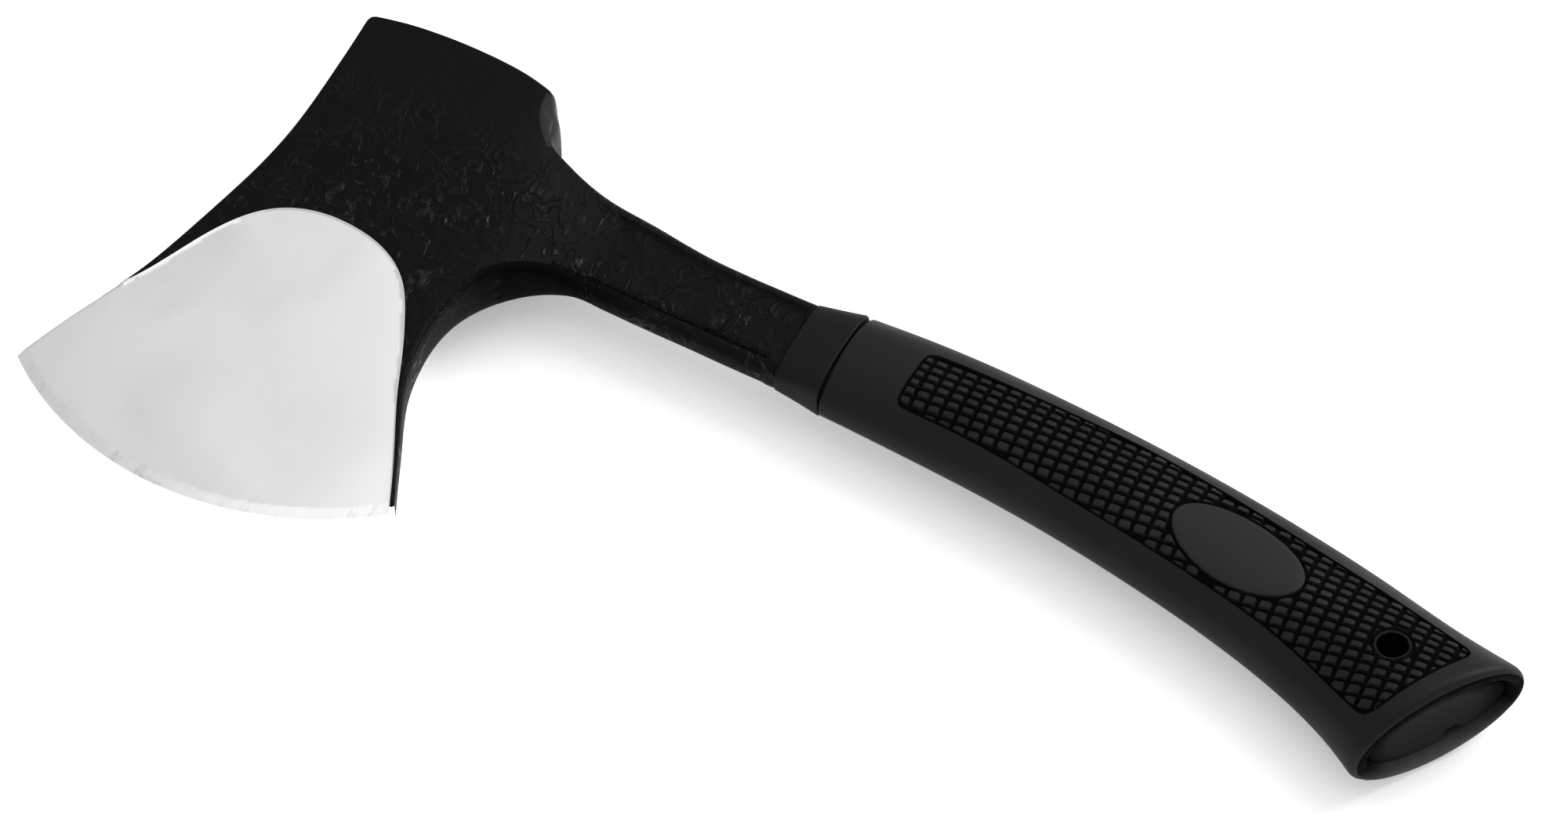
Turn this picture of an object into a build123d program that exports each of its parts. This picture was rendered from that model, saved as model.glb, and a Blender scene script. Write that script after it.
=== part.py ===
"""One-piece forged hatchet with a moulded two-shot handle, lying on its side.

+X runs along the handle from the head to the butt, -Y points at the cutting edge
and +Z is up. The origin is below the middle of the overall length and width, on
the surface that the tool lies on. All sizes are in millimetres.
"""

from build123d import *
import os
from math import cos, degrees, radians, sin

# Overall layout
overall_length = 334.48  # toe corner of the cutting edge to the butt's rim
overall_width = 138.0  # cutting edge to poll

# Cutting edge and ground blade
edge_length = 97.6  # chord from toe to heel
edge_bulge = 17.0  # how far the edge stands out from its chord
edge_land = 0.3  # thickness left at the very edge
bevel_width = 2.6  # sharpened bevel along the edge
bevel_thickness = 1.8  # blade thickness where the bevel starts
grind_height = 63.0  # top of the ground area above the chord
grind_thickness = 12.4  # blade thickness at the top of the ground area
grind_step = 0.6  # extra thickness of the forged cheeks there
grind_half_width = 34.0  # half the ground area's width where it meets the sides

# Head
poll_length = 47.8
poll_crown = 4.0
poll_tilt = 0.9  # the heel end of the poll lies this much lower, the toe end higher
poll_thickness = 20.6
poll_flat = 17.0  # depth of the poll's parallel sides
waist_width = 43.2  # narrowest part of the head
waist_drop = 25.0  # from the poll's corners down to the waist
cheek_start = 2.5  # thickness of the wedge at the edge, before grinding
heel_corner_radius = 15.0  # inside corner between heel and shank
notch_radius = 7.5  # inside corner between poll and shank

# Shank
shank_width = 23.0  # at the collar
shank_belly_rise = 3.2  # how much higher the belly lies at the head than at the collar
shank_spine_rise = 6.2  # the same along the spine
shank_thickness = 8.0
shank_edge_radius = 3.0
shoulder_length = 27.0  # run over which the cheeks thin down to the shank
web_depth = 0.9
web_margin = 2.2  # flange left along spine and belly
web_corner_radius = 3.0
handle_drop = 40.05  # top of the poll down to the shank's centre line

# Tang inside the handle
tang_width = 15.0
tang_thickness = 6.0
tang_cover = 16.0  # core left beyond the tang's end

# Handle
bend_radius = 480.0
grip_start = 10.0  # collar length, along the handle's centre line
grip_length = 160.0
grip_front_width = 27.8
grip_front_thickness = 16.0
palm_width = 32.6
palm_thickness = 20.0
butt_width = 45.8
butt_thickness = 28.4
butt_drop = 1.4  # how far the flare leans towards the belly
butt_rake = 14.0  # degrees that the end leans from square
butt_edge_radius = 2.6
butt_rim_loss = 2.85  # the rounded rim ends this far inside its sharp corner
butt_side_loss = 0.2  # the same across the thickness
collar_overlap = 2.5  # how far the collar reaches over the shank
collar_gap = 0.6  # groove between collar and rubber
collar_front_wall = 0.8  # stands out this much from the shank
collar_back_width = 25.8
collar_back_thickness = 14.6
lip_chamfer = 0.6
rubber_wall = 3.0

# Grip features
panel_depth = 0.8
panel_start = 17.5  # behind the front of the rubber
panel_end_margin = 7.6  # in front of the butt
panel_margin = 6.0  # smooth border on both sides
panel_butt_margin = 4.4  # smooth border on the belly side near the butt
panel_corner_radius = 3.0
badge_length = 34.0
badge_width = 17.0
badge_setback = 40.8  # in front of the lanyard hole
badge_thickness = 1.7
badge_shift = -1.3  # from the centre line, belly side negative
badge_recess = 0.1  # badge face below the tops of the studs
badge_clearance = 0.1
lanyard_radius = 3.5
lanyard_setback = 17.3  # in front of the butt
lanyard_wall = 4.8  # solid rubber between the hole and the core

# Butt plug
plug_margin = 4.2  # rim left around the plug
plug_depth = 6.0
plug_sink = 1.4  # plug edge below the rim
plug_dish = 0.9
plug_clearance = 0.1
plug_border = 1.8  # flat border around the dish

# Places worked out from the sizes above
through = 60.0  # longer than any thickness
mid_z = butt_thickness / 2 - butt_side_loss
toe_x = -overall_length / 2
head_x = toe_x + edge_length / 2
edge_y = -overall_width / 2
poll_y = overall_width / 2
chord_y = edge_y + edge_bulge
edge_radius = ((edge_length / 2) ** 2 + edge_bulge**2) / (2 * edge_bulge)
arc_y = edge_y + edge_radius
poll_corner_y = poll_y - poll_crown
grip_end = grip_start + grip_length
end_turn = grip_end / bend_radius
rim_reach = (butt_width / 2 - butt_drop - butt_rim_loss) * sin(end_turn + radians(butt_rake))
shank_end_x = overall_length / 2 - rim_reach - bend_radius * sin(end_turn)
shank_y = poll_y - handle_drop
spine_y = shank_y + shank_width / 2
belly_y = shank_y - shank_width / 2
shoulder_x = head_x + poll_length / 2 - 3.0
root_x = shoulder_x + shoulder_length
wedge_rate = (grind_thickness + grind_step - cheek_start) / (grind_height + edge_bulge)
lanyard_s = grip_end - lanyard_setback
badge_s = lanyard_s - badge_setback
core_end = lanyard_s - lanyard_radius - lanyard_wall
tang_end = core_end - tang_cover


def along(distance, offset=0.0):
    """Point at a distance along the handle's centre line, offset towards the spine."""
    turn = distance / bend_radius
    reach = bend_radius + offset
    return Vector(shank_end_x + reach * sin(turn), shank_y - bend_radius + reach * cos(turn), mid_z)


def across(distance, rake=0.0, offset=0.0):
    """Plane square to the centre line, its X towards the spine and its Y up."""
    turn = distance / bend_radius + radians(rake)
    spine_way = Vector(sin(turn), cos(turn), 0)
    handle_way = Vector(cos(turn), -sin(turn), 0)
    return Plane(origin=along(distance, offset), x_dir=spine_way, z_dir=handle_way)


def flat(point):
    """The same point on the mid-plane, for sketches in plan."""
    return (point.X, point.Y)


# Share of the grip's length, then width, thickness, rake and drop of each section
grip_sections = [
    (0.0, grip_front_width, grip_front_thickness, 0.0, 0.0),
    (0.12, grip_front_width + 1.7, grip_front_thickness + 1.6, 0.0, 0.0),
    (0.31, palm_width - 1.8, palm_thickness - 1.0, 0.0, 0.0),
    (0.50, palm_width, palm_thickness, 0.0, 0.0),
    (0.69, palm_width + 2.0, palm_thickness + 1.4, 0.05 * butt_rake, 0.0),
    (0.81, palm_width + 3.8, palm_thickness + 3.0, 0.25 * butt_rake, 0.25 * butt_drop),
    (0.91, butt_width - 6.4, butt_thickness - 2.6, 0.65 * butt_rake, 0.75 * butt_drop),
    (1.0, butt_width, butt_thickness, butt_rake, butt_drop),
]


def half_width(distance):
    """Half the grip's width at a distance along the centre line."""
    share = (distance - grip_start) / grip_length
    for before, after in zip(grip_sections, grip_sections[1:]):
        if share <= after[0]:
            break
    part_way = (share - before[0]) / (after[0] - before[0])
    return (before[1] + part_way * (after[1] - before[1])) / 2


def grip_body(inset):
    """The handle's outer shape, drawn in by an even inset."""
    with BuildPart() as body:
        for share, width, thickness, rake, drop in grip_sections:
            with BuildSketch(across(grip_start + share * grip_length, rake, -drop)):
                Ellipse(width / 2 - inset, thickness / 2 - inset)
        loft()
    return body.part


def shank_x(share):
    """Place along the shank, from its root at 0 to the start of the handle's bend at 1."""
    return root_x + share * (shank_end_x - root_x)


def shank_sides(share):
    """Belly and spine of the shank at a share of its length."""
    rise = (1 - share) ** 1.6
    return belly_y + shank_belly_rise * rise, spine_y + shank_spine_rise * rise


def head_point(x, y):
    """Point given from the middle of the edge's chord."""
    return (head_x + x, chord_y + y)


root_belly_y, root_spine_y = shank_sides(0)
root_half = 1.0  # half the wedge's thickness where it ends inside the shank
root_overlap = 4.0
clear_half = poll_thickness / 2 + 0.5
collar_front_width = shank_width + 2 * collar_front_wall
collar_front_thickness = shank_thickness + 2 * collar_front_wall
web_end_share = 1 - collar_overlap / (shank_end_x - root_x)
mid_plane = Plane.XY.offset(mid_z)
side_plane = Plane(origin=(0, 0, mid_z), x_dir=(0, 1, 0), z_dir=(1, 0, 0))
front_plane = Plane(origin=(0, 0, mid_z), x_dir=(1, 0, 0), z_dir=(0, -1, 0))

# Ground area: inside its border the blade is lens-shaped, with a bevel at the edge
with BuildPart() as grind_cut:
    with BuildSketch(mid_plane):
        with BuildLine():
            border = Spline(
                head_point(-grind_half_width - 6.0, 18.0),
                head_point(-grind_half_width + 4.5, grind_height - 22.5),
                head_point(-grind_half_width / 2 - 1.0, grind_height - 5.0),
                head_point(0, grind_height),
                head_point(grind_half_width / 2 + 1.0, grind_height - 5.0),
                head_point(grind_half_width - 4.5, grind_height - 22.5),
                head_point(grind_half_width + 6.0, 18.0),
            )
            Polyline(
                border @ 1,
                head_point(edge_length, 10.0),
                head_point(edge_length, -edge_length),
                head_point(-edge_length, -edge_length),
                head_point(-edge_length, 10.0),
                border @ 0,
            )
        make_face()
    extrude(amount=through, both=True)
    with BuildSketch(Plane(origin=(head_x, arc_y, mid_z), x_dir=(1, 0, 0), z_dir=(0, -1, 0))):
        with BuildLine():
            bevel_radius = edge_radius - bevel_width
            bevel_rate = (bevel_thickness - edge_land) / 2 / bevel_width
            past_edge = 0.4
            middle_radius = bevel_radius / 2
            crown_drop = (grind_thickness - bevel_thickness) / 2 / 4
            crown = ThreePointArc(
                (0, grind_thickness / 2),
                (middle_radius, grind_thickness / 2 - crown_drop),
                (bevel_radius, bevel_thickness / 2),
            )
            rim_half = edge_land / 2 - past_edge * bevel_rate
            Polyline(crown @ 1, (edge_radius + past_edge, rim_half), (edge_radius + past_edge, 0))
            mirror(about=Plane.XZ)
            Line((0, grind_thickness / 2), (0, -grind_thickness / 2))
        make_face()
    revolve(axis=Axis((head_x, arc_y, 0), (0, 0, 1)), mode=Mode.SUBTRACT)

# Head forging: plan outline, then the cheeks' wedge and the shoulder to the shank
with BuildPart() as head_forging:
    with BuildSketch(mid_plane):
        with BuildLine():
            toe = head_point(-edge_length / 2, 0)
            heel = head_point(edge_length / 2, 0)
            ThreePointArc(toe, (head_x, edge_y), heel)
            heel_side = Spline(
                heel,
                head_point(waist_width / 2 + 10.0, 40.0),
                (head_x + waist_width / 2 + 8.0, root_belly_y - heel_corner_radius),
                tangents=[(-0.43, 0.9), (0, 1)],
            )
            corner = JernArc(heel_side @ 1, (0, 1), heel_corner_radius, -90)
            belly = Line(corner @ 1, (root_x + root_overlap, root_belly_y))
            spine = Spline(
                (root_x + root_overlap, root_spine_y - 1.0),
                (root_x - 3.0, root_spine_y + 0.5),
                (head_x + poll_length / 2 + 1.0, poll_corner_y - notch_radius),
                tangents=[(-1, 0.2), (-0.15, 1)],
            )
            Line(belly @ 1, spine @ 0)
            poll_heel = (head_x + poll_length / 2, poll_corner_y - poll_tilt)
            poll_toe = (head_x - poll_length / 2, poll_corner_y + poll_tilt)
            Line(spine @ 1, poll_heel)
            ThreePointArc(poll_heel, (head_x, poll_y), poll_toe)
            Spline(
                poll_toe,
                (head_x - waist_width / 2, poll_corner_y - waist_drop),
                head_point(-waist_width / 2 - 8.9, 41.6),
                toe,
                tangents=[(0.1, -1), (-0.43, -0.9)],
            )
        make_face()
    extrude(amount=through, both=True)
    with BuildSketch(side_plane):
        with BuildLine():
            cheek = Spline(
                (edge_y - 1, (cheek_start - wedge_rate) / 2),
                (chord_y + grind_height, (grind_thickness + grind_step) / 2),
                (poll_y - poll_flat, poll_thickness / 2),
                tangents=[(1, wedge_rate / 2), (1, 0)],
            )
            Polyline(cheek @ 1, (poll_y + 1, poll_thickness / 2), (poll_y + 1, 0))
            Line(cheek @ 0, (edge_y - 1, 0))
            mirror(about=Plane.XZ)
        make_face()
    extrude(amount=overall_length, both=True, mode=Mode.INTERSECT)
    with BuildSketch(front_plane):
        with BuildLine():
            shoulder = Spline(
                (shoulder_x, clear_half),
                (root_x, shank_thickness / 2 - 0.5),
                (root_x + root_overlap, root_half),
                tangents=[(1, 0), (1, -0.5)],
            )
            Line(shoulder @ 1, (root_x + root_overlap, 0))
            Polyline(shoulder @ 0, (toe_x - 1, clear_half), (toe_x - 1, 0))
            mirror(about=Plane.XZ)
        make_face()
    extrude(amount=overall_width, both=True, mode=Mode.INTERSECT)
    add(grind_cut.part, mode=Mode.SUBTRACT)

    # Shank with round edges, from inside the cheeks to the collar
    for share in (-0.15, 0.0, 0.25, 0.5, 0.75, 1.0):
        belly_at, spine_at = shank_sides(share)
        shank_centre = (shank_x(share), (belly_at + spine_at) / 2, mid_z)
        with BuildSketch(Plane(origin=shank_centre, x_dir=(0, 1, 0), z_dir=(1, 0, 0))):
            RectangleRounded(spine_at - belly_at, shank_thickness, shank_edge_radius)
    loft()
    # Web panel sunk into both sides of the shank
    for side in (1, -1):
        with BuildSketch(mid_plane.offset(side * (shank_thickness / 2 - web_depth))):
            with BuildLine():
                shares = (0.0, 0.25, 0.5, 0.75, web_end_share)
                web_belly = Spline(
                    *[(shank_x(share), shank_sides(share)[0] + web_margin) for share in shares]
                )
                web_spine = Spline(
                    *[(shank_x(share), shank_sides(share)[1] - web_margin) for share in shares]
                )
                Line(web_belly @ 0, web_spine @ 0)
                Line(web_belly @ 1, web_spine @ 1)
            make_face()
            fillet(vertices(), radius=web_corner_radius)
        extrude(amount=side * through, mode=Mode.SUBTRACT)
    # Full tang that follows the handle's bend
    with BuildSketch(mid_plane):
        with BuildLine():
            tang_spine = ThreePointArc(
                flat(along(0, tang_width / 2)),
                flat(along(tang_end / 2, tang_width / 2)),
                flat(along(tang_end, tang_width / 2)),
            )
            tang_belly = ThreePointArc(
                flat(along(0, -tang_width / 2)),
                flat(along(tang_end / 2, -tang_width / 2)),
                flat(along(tang_end, -tang_width / 2)),
            )
            Line(tang_spine @ 0, tang_belly @ 0)
            Line(tang_spine @ 1, tang_belly @ 1)
        make_face()
    extrude(amount=tang_thickness / 2, both=True)

# Handle core: an inner sleeve around the tang, with the collar in front of the rubber
sleeve = grip_body(rubber_wall)
with BuildPart() as core_shape:
    add(sleeve)
    split(bisect_by=across(core_end), keep=Keep.BOTTOM)
    with BuildSketch(across(grip_start)):
        Ellipse(grip_front_width / 2 - rubber_wall, grip_front_thickness / 2 - rubber_wall)
    extrude(amount=-collar_gap - 1.0)
    with BuildSketch(across(-collar_overlap)):
        RectangleRounded(collar_front_width, collar_front_thickness, collar_front_thickness * 0.45)
    with BuildSketch(across(grip_start - collar_gap)):
        RectangleRounded(collar_back_width, collar_back_thickness, collar_back_thickness * 0.45)
    loft()

with BuildPart() as grip_core:
    add(core_shape.part)
    add(head_forging.part, mode=Mode.SUBTRACT)

# Rubber grip: solid behind the core, with panels, badge seats, lanyard hole and plug pocket
outer = grip_body(0)
panel_floor = grip_body(panel_depth)
badge_floor = grip_body(badge_recess + badge_thickness)
badge_face = grip_body(badge_recess)

panel_front = grip_start + panel_start
panel_back = grip_end - panel_end_margin
with BuildPart() as panel_cut:
    with BuildSketch(mid_plane):
        with BuildLine():
            lean = sin(radians(butt_rake))
            spine_side = []
            belly_side = []
            for share in (0, 0.25, 0.5, 0.75, 1):
                place = panel_front + share * (panel_back - panel_front)
                spine_offset = half_width(place) - panel_margin
                margin = panel_margin + (panel_butt_margin - panel_margin) * share
                belly_offset = margin - half_width(place)
                spine_side.append(flat(along(place + share * lean * spine_offset, spine_offset)))
                belly_side.append(flat(along(place + share * lean * belly_offset, belly_offset)))
            panel_spine = Spline(*spine_side)
            panel_belly = Spline(*belly_side)
            Line(panel_spine @ 0, panel_belly @ 0)
            Line(panel_spine @ 1, panel_belly @ 1)
        make_face()
        fillet(vertices(), radius=panel_corner_radius)
    extrude(amount=through, both=True)
    add(panel_floor, mode=Mode.SUBTRACT)

badge_turn = degrees(badge_s / bend_radius)
badge_centre = along(badge_s, badge_shift)
badge_plane = Plane(origin=badge_centre).rotated((0, 0, -badge_turn))
with BuildPart() as badge_cut:
    with BuildSketch(badge_plane):
        Ellipse(badge_length / 2, badge_width / 2)
    extrude(amount=through, both=True)
    add(badge_floor, mode=Mode.SUBTRACT)

end_plane = across(grip_end, butt_rake, -butt_drop)
pocket_width = butt_width / 2 - plug_margin
pocket_height = butt_thickness / 2 - plug_margin
with BuildPart() as rubber_grip:
    add(outer)
    fillet(faces().sort_by(Axis.X)[-1].edges(), radius=butt_edge_radius)
    chamfer(faces().sort_by(Axis.X)[0].edges(), length=lip_chamfer)
    add(core_shape.part, mode=Mode.SUBTRACT)
    add(panel_cut.part, mode=Mode.SUBTRACT)
    add(badge_cut.part, mode=Mode.SUBTRACT)
    with BuildSketch(Plane(origin=along(lanyard_s))):
        Circle(lanyard_radius)
    extrude(amount=through, both=True, mode=Mode.SUBTRACT)
    with BuildSketch(end_plane):
        Ellipse(pocket_width, pocket_height)
    extrude(amount=-plug_depth, mode=Mode.SUBTRACT)

# Badges: thin oval inlays that follow the grip's outer shape
with BuildPart() as badge_upper:
    with BuildSketch(badge_plane):
        Ellipse(badge_length / 2 - badge_clearance, badge_width / 2 - badge_clearance)
    extrude(amount=through)
    add(badge_face, mode=Mode.INTERSECT)
    add(badge_floor, mode=Mode.SUBTRACT)

with BuildPart() as badge_lower:
    with BuildSketch(badge_plane):
        Ellipse(badge_length / 2 - badge_clearance, badge_width / 2 - badge_clearance)
    extrude(amount=-through)
    add(badge_face, mode=Mode.INTERSECT)
    add(badge_floor, mode=Mode.SUBTRACT)

# Butt plug: sits on the pocket's floor with a dished oval in its face
plug_plane = end_plane.offset(-plug_depth)
with BuildPart() as butt_plug:
    with BuildSketch(plug_plane):
        Ellipse(pocket_width - plug_clearance, pocket_height - plug_clearance)
    extrude(amount=plug_depth - plug_sink)
    with BuildSketch(end_plane.offset(-plug_sink - plug_dish)):
        Ellipse(pocket_width - plug_border, pocket_height - plug_border)
    extrude(amount=plug_dish, mode=Mode.SUBTRACT)

# One file for each piece
pieces = {
    "head_forging": head_forging,
    "grip_core": grip_core,
    "rubber_grip": rubber_grip,
    "badge_upper": badge_upper,
    "badge_lower": badge_lower,
    "butt_plug": butt_plug,
}
os.makedirs("parts", exist_ok=True)
for name, piece in pieces.items():
    piece.part.label = name
    export_step(piece.part, f"parts/{name}.step")
    print(name, len(piece.solids()), round(piece.part.volume), piece.part.bounding_box())
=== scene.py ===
"""Looks of a one-piece forged hatchet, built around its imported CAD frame.

Lengths are written in millimetres in plan, from the toe corner of the cutting edge:
u runs along the handle towards the butt and v away from the edge's chord, towards the poll.
Heights are measured from the hatchet's middle plane. lift() turns them into metres in the
row's frame. The badges, the collar and the plug are closed meshes. The forging has short
open seams where the web's lines meet the shank's border, and the rubber has thin sliver
faces inside the ring of the lanyard hole.
"""

from math import cos, pi, radians, sin

import bmesh
import bpy
import numpy as np
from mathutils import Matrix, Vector, noise
from mathutils.geometry import delaunay_2d_cdt


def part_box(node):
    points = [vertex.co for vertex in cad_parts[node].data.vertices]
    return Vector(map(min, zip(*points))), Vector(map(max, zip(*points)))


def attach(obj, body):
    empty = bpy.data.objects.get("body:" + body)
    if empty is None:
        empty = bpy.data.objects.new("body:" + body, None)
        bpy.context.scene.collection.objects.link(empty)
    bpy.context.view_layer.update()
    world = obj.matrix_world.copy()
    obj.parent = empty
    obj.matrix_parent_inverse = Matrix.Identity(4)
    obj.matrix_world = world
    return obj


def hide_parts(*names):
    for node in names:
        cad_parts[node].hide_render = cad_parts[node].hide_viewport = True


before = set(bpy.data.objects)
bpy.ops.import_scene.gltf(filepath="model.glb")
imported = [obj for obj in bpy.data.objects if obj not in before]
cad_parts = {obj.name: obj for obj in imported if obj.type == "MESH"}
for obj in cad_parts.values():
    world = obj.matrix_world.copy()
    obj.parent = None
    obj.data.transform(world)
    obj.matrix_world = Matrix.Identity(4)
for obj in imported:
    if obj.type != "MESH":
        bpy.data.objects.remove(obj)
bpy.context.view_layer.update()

MM = 0.001
head_low, head_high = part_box("head_forging")
EDGE_BULGE = 17.0
TOE_X = head_low.x / MM
CHORD_Y = head_low.y / MM + EDGE_BULGE
MIDDLE_Z = (head_low.z + head_high.z) / 2 / MM


def lift(points):
    """Plan points (u, v, height) in millimetres as row-frame points in metres."""
    return (np.asarray(points, float) + (TOE_X, CHORD_Y, MIDDLE_Z)) * MM


# ---------------------------------------------------------------- curves and shells


def natural_spline(knots, values):
    """A smooth function through values at knots, with no bend at its ends."""
    x, y = np.asarray(knots, float), np.asarray(values, float)
    n, h = len(x), np.diff(x)
    rows, right = np.eye(n), np.zeros(n)
    for i in range(1, n - 1):
        rows[i, i - 1 : i + 2] = h[i - 1], 2 * (h[i - 1] + h[i]), h[i]
        right[i] = 6 * ((y[i + 1] - y[i]) / h[i] - (y[i] - y[i - 1]) / h[i - 1])
    bend = np.linalg.solve(rows, right)

    def at(q):
        q = np.asarray(q, float)
        i = np.clip(np.searchsorted(x, q) - 1, 0, n - 2)
        a, b = (x[i + 1] - q) / h[i], (q - x[i]) / h[i]
        curve = ((a**3 - a) * bend[i] + (b**3 - b) * bend[i + 1]) * h[i] ** 2 / 6
        return a * y[i] + b * y[i + 1] + curve

    return at


def through(points, step):
    """A smooth line through points, sampled about every step."""
    points = np.asarray(points, float)
    steps = np.linalg.norm(np.diff(points[:, :2], axis=0), axis=1)
    chord = np.concatenate([[0], np.cumsum(steps)])
    count = max(2, int(round(chord[-1] / step)) + 1)
    where = np.linspace(0, chord[-1], count)
    return np.stack([natural_spline(chord, column)(where) for column in points.T], axis=1)


def outward(loop):
    """Unit normals of a closed plan loop, pointing out of it."""
    ahead, behind = np.roll(loop, -1, axis=0) - loop, loop - np.roll(loop, 1, axis=0)
    ahead /= np.linalg.norm(ahead, axis=1)[:, None] + 1e-9
    behind /= np.linalg.norm(behind, axis=1)[:, None] + 1e-9
    along = ahead + behind
    along /= np.linalg.norm(along, axis=1)[:, None] + 1e-9
    turn = np.sum(loop[:, 0] * np.roll(loop[:, 1], -1) - np.roll(loop[:, 0], -1) * loop[:, 1])
    return np.stack([along[:, 1], -along[:, 0]], axis=1) * (1 if turn > 0 else -1)


def inside(points, loop):
    """Whether each plan point lies inside a closed loop."""
    found = np.zeros(len(points), bool)
    for (x0, y0), (x1, y1) in zip(loop, np.roll(loop, -1, axis=0)):
        crosses = (y0 > points[:, 1]) != (y1 > points[:, 1])
        rise = np.where(abs(y1 - y0) < 1e-12, 1e-12, y1 - y0)
        found ^= crosses & (points[:, 0] < (x1 - x0) * (points[:, 1] - y0) / rise + x0)
    return found


def distance(points, line):
    """Each plan point's distance to an open line."""
    best = np.full(len(points), 1e9)
    for a, b in zip(line[:-1], line[1:]):
        way = b - a
        share = np.clip((points - a) @ way / (way @ way + 1e-12), 0, 1)
        best = np.minimum(best, np.linalg.norm(points - a - share[:, None] * way, axis=1))
    return best


def closed(line):
    """The line with its first point repeated at its end."""
    return np.concatenate([line, line[:1]])


def hex_points(low, high, pitch):
    """Points of an even triangle lattice over a box."""
    row_share = 0.866
    rows = np.arange(low[1], high[1], pitch * row_share)
    points = []
    for i, v in enumerate(rows):
        u = np.arange(low[0] + (i % 2) * pitch / 2, high[0], pitch)
        points.append(np.stack([u, np.full(len(u), v)], axis=1))
    return np.concatenate(points)


def triangulate(border, loops=(), lines=(), free=()):
    """Triangles inside border that keep to the loops and lines.

    Returns the plan points, the triangles, and for each point the number of the input
    point it came from, or -1 for one made where two lines cross.
    """
    points, edges = [border], []
    start = len(border)
    for line, ends in [(x, True) for x in loops] + [(x, False) for x in lines]:
        numbers = list(range(start, start + len(line)))
        edges += list(zip(numbers[:-1], numbers[1:]))
        if ends:
            edges.append((numbers[-1], numbers[0]))
        points.append(line)
        start += len(line)
    if len(free):
        points.append(free)
    flat = [Vector(p) for p in np.concatenate(points)]
    out = delaunay_2d_cdt(flat, edges, [list(range(len(border)))], 1, 1e-5)
    source = np.array([ids[0] if ids else -1 for ids in out[3]])
    return np.array([tuple(p) for p in out[0]]), [tuple(f) for f in out[2]], source


class Shell:
    """Collects points and faces of one mesh, each face with a material number."""

    def __init__(self):
        self.points, self.faces, self.finish, self.count = [], [], [], 0

    def add(self, points, faces, finish=0):
        self.points.append(np.asarray(points, float))
        numbers = [finish] * len(faces) if isinstance(finish, int) else list(finish)
        self.faces += [tuple(int(i) + self.count for i in f) for f in faces]
        self.finish += numbers
        self.count += len(points)

    def rings(self, rings, finish=0, wrap=True):
        """Quads between rings of equally many points."""
        n = len(rings[0])
        faces = []
        for k in range(len(rings) - 1):
            for i in range(n if wrap else n - 1):
                j = (i + 1) % n
                faces.append((k * n + i, k * n + j, k * n + n + j, k * n + n + i))
        self.add(np.concatenate(rings), faces, finish)

    def cap(self, ring, middle, finish=0):
        """A fan that closes a ring."""
        n = len(ring)
        self.add(np.concatenate([ring, [middle]]), [(i, (i + 1) % n, n) for i in range(n)], finish)

    def build(self, name, materials, sharp=32.0):
        """The mesh object, in the row's frame, riding on the hatchet's one body."""
        mesh = bpy.data.meshes.new(name)
        mesh.from_pydata(lift(np.concatenate(self.points)).tolist(), [], self.faces)
        mesh.polygons.foreach_set("material_index", self.finish)
        tidy = bmesh.new()
        tidy.from_mesh(mesh)
        bmesh.ops.remove_doubles(tidy, verts=tidy.verts, dist=4e-6)
        bmesh.ops.dissolve_degenerate(tidy, edges=tidy.edges, dist=1e-6)
        bmesh.ops.recalc_face_normals(tidy, faces=tidy.faces)
        open_edges = sum(len(e.link_faces) != 2 for e in tidy.edges)
        print(f"{name}: {len(tidy.faces)} faces, {open_edges} open edges")
        tidy.to_mesh(mesh)
        tidy.free()
        mesh.polygons.foreach_set("use_smooth", [True] * len(mesh.polygons))
        mesh.set_sharp_from_angle(angle=radians(sharp))
        for material in materials:
            mesh.materials.append(material)
        piece = bpy.data.objects.new(name, mesh)
        bpy.context.scene.collection.objects.link(piece)
        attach(piece, "root")
        return piece


def smoother(x):
    """0 to 1 with no bend at either end."""
    x = np.clip(x, 0, 1)
    return x * x * x * (x * (6 * x - 15) + 10)


def ease(x):
    """0 to 1 with no slope at either end."""
    x = np.clip(x, 0, 1)
    return x * x * (3 - 2 * x)


# ---------------------------------------------------------------- materials


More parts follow.
